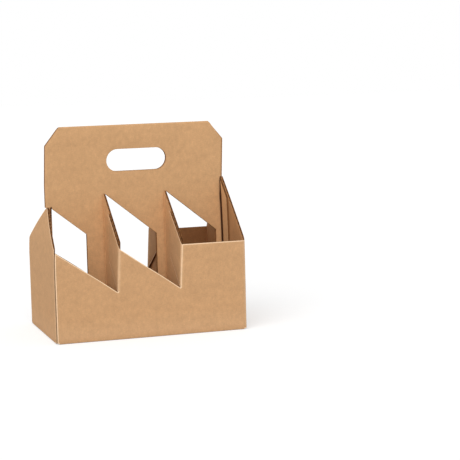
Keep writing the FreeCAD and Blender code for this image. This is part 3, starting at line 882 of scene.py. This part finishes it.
def insert_blanks():
    """Panel, dividers and end flaps of the front ply, and their mirror images behind."""
    panel = join_patches(panel_patches())
    middle = GLUE_LINE / 2
    flaps = (([(-INSERT_END, -LEFT_FLAP - BOARD), (-INSERT_END, -middle)],
              edge_line((0, LEFT_FLAP_TOP - LEFT_FLAP_FALL), (LEFT_FLAP, LEFT_FLAP_TOP)),
              LEFT_FLAP),
             ([(INSERT_END, -middle), (INSERT_END, -RIGHT_FLAP - BOARD)],
              edge_line((BOARD, RIGHT_FLAP_TOP),
                        (BOARD + RIGHT_FLAP, RIGHT_FLAP_TOP - RIGHT_FLAP_FALL)),
              BOARD))
    blanks = []
    for side, crown in ((1, None), (-1, TOP_ARC)):
        blanks.append((panel, ply_side(side), panel_folds, crown))
        for place_x, hinge in zip(DIVIDER_PLACES, HINGES):
            blanks.append(divider_blank(place_x, hinge, side, crown))
        for corners, edge, root in flaps:
            blanks.append(end_flap_blank(corners, edge, root, side, crown))
    return blanks


# ---- materials ----

INNER_COLOUR = (0.50, 0.255, 0.11)  # the board's inner face
INSIDE_PAPER_AND_SHADE_COLOUR = (0.27, 0.11, 0.035)  # paper inside the board: darker brown, deepened as painted shade in the flutes
CREASE_SHADE_COLOUR = (0.06, 0.018, 0.005)  # painted shade in the deep creases beside the end flaps
FLUTING_COLOUR = (0.30, 0.13, 0.045)
FOLD_TRIM_SHARE = 0.3               # how far folds take on the trim's colour: worn paper, with its painted highlight on the box and painted shade on the insert
TRIM_SHARE = 0.3           # from this share of nearness to a cut it is all trim
CREASE_SHADE_FROM, CREASE_SHADE_WHOLE = -0.2, -0.7  # marks between which a crease gets its painted shade
FOOT_SHADE_HEIGHT = 8 * MM              # painted shade near the floor: below this the walls are a little darker
FOOT_SHADE_TONE = 0.96
SEAM_SHADE_TONE = 0.5           # painted shade: share of its tone that the glue tab and its fold keep, deep in the open seam
SEAM_SHADE_FROM = WRAP.ends[GLUED - 1] + FOLD / 4
ROUGHNESS = 0.85
GLOSS = 0.2
GRAIN_HEIGHT = 0.2 * MM
GRAIN_STRENGTH = 0.3

# The paper's faint patterns: their stretch along, up and through the board, how many go
# into a metre, and how far they take the tone up and down.
SHADES = {"stretch": (0.5, 1, 1), "scale": 60, "detail": 3, "strength": 0.04}
CLOUDS = {"stretch": (1.2, 0.9, 1), "scale": 140, "detail": 3, "strength": 0.06}
FIBRES = {"stretch": (1, 3, 1), "scale": 300, "detail": 5, "roughness": 0.7,
          "strength": 0.08}
THREADS = {"stretch": (4, 1, 1), "scale": 200, "detail": 4, "roughness": 0.7,
           "strength": 0.06}
NOISE_LOW, NOISE_HIGH = 0.3, 0.7  # noise hardly goes beyond these
SPECKS = {"stretch": (1, 1.6, 1), "scale": 1300, "detail": 2}
SPECK_FROM, SPECK_WHOLE = 0.70, 0.76  # noise between which a speck grows dark
SPECK_TONE = 0.75


def fill(tree, node, inputs):
    """Sets a node's inputs, each to a number or a colour or from another's output."""
    for socket, value in inputs.items():
        if isinstance(value, bpy.types.NodeSocket):
            tree.links.new(value, node.inputs[socket])
        else:
            node.inputs[socket].default_value = value


def add_node(tree, kind, output, inputs, **settings):
    """A new shader node with its settings and inputs.  Gives one of its outputs."""
    node = tree.nodes.new("ShaderNode" + kind)
    for word, value in settings.items():
        setattr(node, word, value)
    fill(tree, node, inputs)
    return node.outputs[output]


def combined(tree, operation, one, other):
    """Two numbers, or outputs, put together by one of the maths node's operations."""
    return add_node(tree, "Math", "Value", {0: one, 1: other},
                    operation=operation)


def new_material(name):
    """A material with its tree of nodes and its shader."""
    material = bpy.data.materials.new(name)
    material.use_nodes = True
    return material, material.node_tree, material.node_tree.nodes["Principled BSDF"]


def kraft(name, colour, trim_colour, cut_colour):
    """Unbleached kraft paper: faint clouds, fine fibres and dark specks.  It has other
    colours beside a cut and along folds (crushed and worn paper, painted paler as a
    highlight on the box and darker as shade on the insert), where it is cut through
    (painted shade on the insert), on the board's inner face, inside the board (darker
    paper deepened as painted shade) and in deep creases (painted shade), each mixed in
    by its mark.  All are scaled by a tone: the patterns times a painted shade on the
    glue tab and its fold in the open seam and a painted shade along the foot."""
    material, tree, shader = new_material(name)

    def mark(word):
        return add_node(tree, "Attribute", "Fac", {}, attribute_name=word)

    def noise(stretch, scale, detail, roughness=0.6):
        mapped = add_node(tree, "Mapping", "Vector", {"Vector": place, "Scale": stretch})
        return add_node(tree, "TexNoise", "Fac", {
            "Vector": mapped, "Scale": scale, "Detail": detail, "Roughness": roughness})

    def spread(value, low, high, to_low=0, to_high=1):
        return add_node(tree, "MapRange", "Result", {
            "Value": value, "From Min": low, "From Max": high,
            "To Min": to_low, "To Max": to_high})

    def pattern(strength, **kind):
        return spread(noise(**kind), NOISE_LOW, NOISE_HIGH, 1 - strength, 1 + strength)

    place = add_node(tree, "CombineXYZ", "Vector", {
        "X": mark("board_along"), "Y": mark("board_up"), "Z": mark("board_depth")})
    # painted shade along the foot, near the floor
    tone = spread(mark("board_up"), 0, FOOT_SHADE_HEIGHT, FOOT_SHADE_TONE)
    specks = spread(noise(**SPECKS), SPECK_FROM, SPECK_WHOLE, 1, SPECK_TONE)
    # painted shade over the glue tab's fold, which lies deep in the open seam
    seam_shade = spread(mark("board_along"), SEAM_SHADE_FROM, SEAM_SHADE_FROM + MM, 1, SEAM_SHADE_TONE)
    for factor in (pattern(**SHADES), pattern(**CLOUDS), pattern(**FIBRES),
                   pattern(**THREADS), specks, seam_shade):
        tone = combined(tree, "MULTIPLY", tone, factor)
    # folds take on the trim's colour, except along the foot, which is left in painted shade
    fold_trim = combined(tree, "MULTIPLY", spread(mark("near_fold"), 0, 1, 0, FOLD_TRIM_SHARE),
                      spread(mark("board_up"), 0, FOOT_SHADE_HEIGHT))
    trim = combined(tree, "MAXIMUM", fold_trim, spread(mark("near_cut"), 0, TRIM_SHARE))
    mixed = (*colour, 1)
    for factor, other in (
            # trim beside cuts and along folds: crushed, worn paper with a painted highlight
            # on the box and painted shade on the insert
            (trim, trim_colour),
            (spread(mark("board_depth"), 0, BOARD), INNER_COLOUR),
            # painted shade in the deep creases beside the end flaps
            (spread(mark("near_fold"), CREASE_SHADE_FROM, CREASE_SHADE_WHOLE), CREASE_SHADE_COLOUR),
            # cut faces, painted shade on the insert; paper inside the board, deepened as
            # painted shade
            (mark("cut_face"), cut_colour), (mark("inside"), INSIDE_PAPER_AND_SHADE_COLOUR)):
        mixed = add_node(tree, "Mix", "Result", {
            "Factor": factor, "A": mixed, "B": (*other, 1)}, data_type="RGBA")
    toned = add_node(tree, "VectorMath", "Vector", {0: mixed, "Scale": tone},
                     operation="SCALE")
    grain = add_node(tree, "Bump", "Normal", {
        "Strength": GRAIN_STRENGTH, "Distance": GRAIN_HEIGHT, "Height": tone})
    fill(tree, shader, {"Base Color": toned, "Normal": grain, "Roughness": ROUGHNESS,
                        "Specular IOR Level": GLOSS})
    return material


# ---- the carrier ----

# the box's trim is crushed paper, painted paler as a highlight along its cuts and folds
box_kraft = kraft("box_kraft", colour=(0.61, 0.352, 0.174),
                  trim_colour=(0.93, 0.66, 0.42), cut_colour=(0.60, 0.35, 0.17))
# the insert's trim and cut faces are painted darker as shade along its edges
insert_kraft = kraft("insert_kraft", colour=(0.63, 0.365, 0.178),
                     trim_colour=(0.60, 0.34, 0.16), cut_colour=(0.36, 0.17, 0.07))
fluting_kraft = kraft("fluting_kraft", colour=FLUTING_COLOUR,
                      trim_colour=FLUTING_COLOUR, cut_colour=FLUTING_COLOUR)

for word, node, slot_name, blanks, liner_finish in (
        ("box", "outer_body", "outer_board", box_blanks(), box_kraft),
        ("insert", "handle_insert", "insert_board", insert_blanks(), insert_kraft)):
    liners = paper_piece(f"{word}_liners", (outer_liner, inner_liner), blanks)
    waves = paper_piece(f"{word}_fluting", (fluting,), blanks)
    liners.data.materials.append(liner_finish)
    waves.data.materials.append(fluting_kraft)
    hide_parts(node)
    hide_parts(node)

# ---- the stage ----

WHITE = (1, 1, 1, 1)
FLOOR_HALF = 6.0
FLOOR_GREY = (0.6, 0.6, 0.6, 1)
FLOOR_ROUGHNESS = 0.9
FLOOR_GLOW = 0.48
WORLD_LIGHT = 0.52
CAMERA_TURN = (17.888, 7.345, -1.322)  # azimuth, elevation and roll in degrees
CAMERA_PLACE = Vector((-0.5145, -1.9994, 0.3902))
SENSOR = 36
FOCAL = 3.4634             # in sensor widths


def looking(tree):
    """One for rays from the eye, straight, off a gloss or through glass, else nothing."""
    path = tree.nodes.new("ShaderNodeLightPath")
    total = path.outputs["Is Camera Ray"]
    for kind in ("Is Glossy Ray", "Is Transmission Ray"):
        total = combined(tree, "MAXIMUM", total, path.outputs[kind])
    return total


def make_floor():
    """A plain pale square that takes the shadow and glows white for whoever looks."""
    mesh = bpy.data.meshes.new("floor")
    corners = [(x * FLOOR_HALF, y * FLOOR_HALF, 0)
               for x, y in ((-1, -1), (1, -1), (1, 1), (-1, 1))]
    mesh.from_pydata(corners, [], [(0, 1, 2, 3)])
    floor = new_object("floor", mesh)
    material, tree, shader = new_material("floor_white")
    glow = combined(tree, "MULTIPLY", looking(tree), FLOOR_GLOW)
    fill(tree, shader, {"Base Color": FLOOR_GREY, "Roughness": FLOOR_ROUGHNESS,
                        "Specular IOR Level": 0, "Emission Color": WHITE,
                        "Emission Strength": glow})
    mesh.materials.append(material)


def make_world():
    """Soft even light from all round, and plain white behind for whoever looks."""
    world = bpy.data.worlds.new("studio")
    world.use_nodes = True
    tree = world.node_tree
    light = tree.nodes["Background"]
    fill(tree, light, {"Color": WHITE, "Strength": WORLD_LIGHT})
    seen = add_node(tree, "Background", "Background", {"Color": WHITE, "Strength": 1})
    shown = add_node(tree, "MixShader", "Shader", {
        "Fac": looking(tree), 1: light.outputs["Background"], 2: seen})
    fill(tree, tree.nodes["World Output"], {"Surface": shown})
    bpy.context.scene.world = world


def direction(azimuth, elevation):
    """From the middle to a place that far left of the front and that far up: (-sin(a) *
    cos(e), -cos(a) * cos(e), sin(e))."""
    level = math.cos(elevation)
    return Vector((-math.sin(azimuth) * level, -math.cos(azimuth) * level,
                   math.sin(elevation)))


def make_sun(name, azimuth, elevation, spread, strength):
    """A broad soft lamp far away; its angles are in degrees."""
    lamp = bpy.data.lights.new(name, "SUN")
    lamp.angle = math.radians(spread)
    lamp.energy = strength
    holder = new_object(name, lamp)
    towards = direction(math.radians(azimuth), math.radians(elevation))
    holder.rotation_mode = "QUATERNION"
    holder.rotation_quaternion = towards.to_track_quat("Z", "Y")


def make_camera():
    """Left of the middle and a little above, turned so that the carrier stands left of
    the middle of the view."""
    camera = bpy.data.cameras.new("camera")
    camera.sensor_width = SENSOR
    camera.lens = SENSOR * FOCAL
    holder = new_object("camera", camera)
    bpy.context.scene.camera = holder
    azimuth, elevation, roll = (math.radians(angle) for angle in CAMERA_TURN)
    back = direction(azimuth, elevation)
    right = Vector((math.cos(azimuth), -math.sin(azimuth), 0))
    above = back.cross(right)
    rolled_right = right * math.cos(roll) + above * math.sin(roll)
    rolled_above = above * math.cos(roll) - right * math.sin(roll)
    turn = Matrix((rolled_right, rolled_above, back)).transposed()
    holder.matrix_world = Matrix.Translation(CAMERA_PLACE) @ turn.to_4x4()


make_floor()
make_world()
make_sun("key", azimuth=33, elevation=40, spread=60, strength=2.04)
make_camera()
bpy.context.scene.view_settings.view_transform = "Standard"
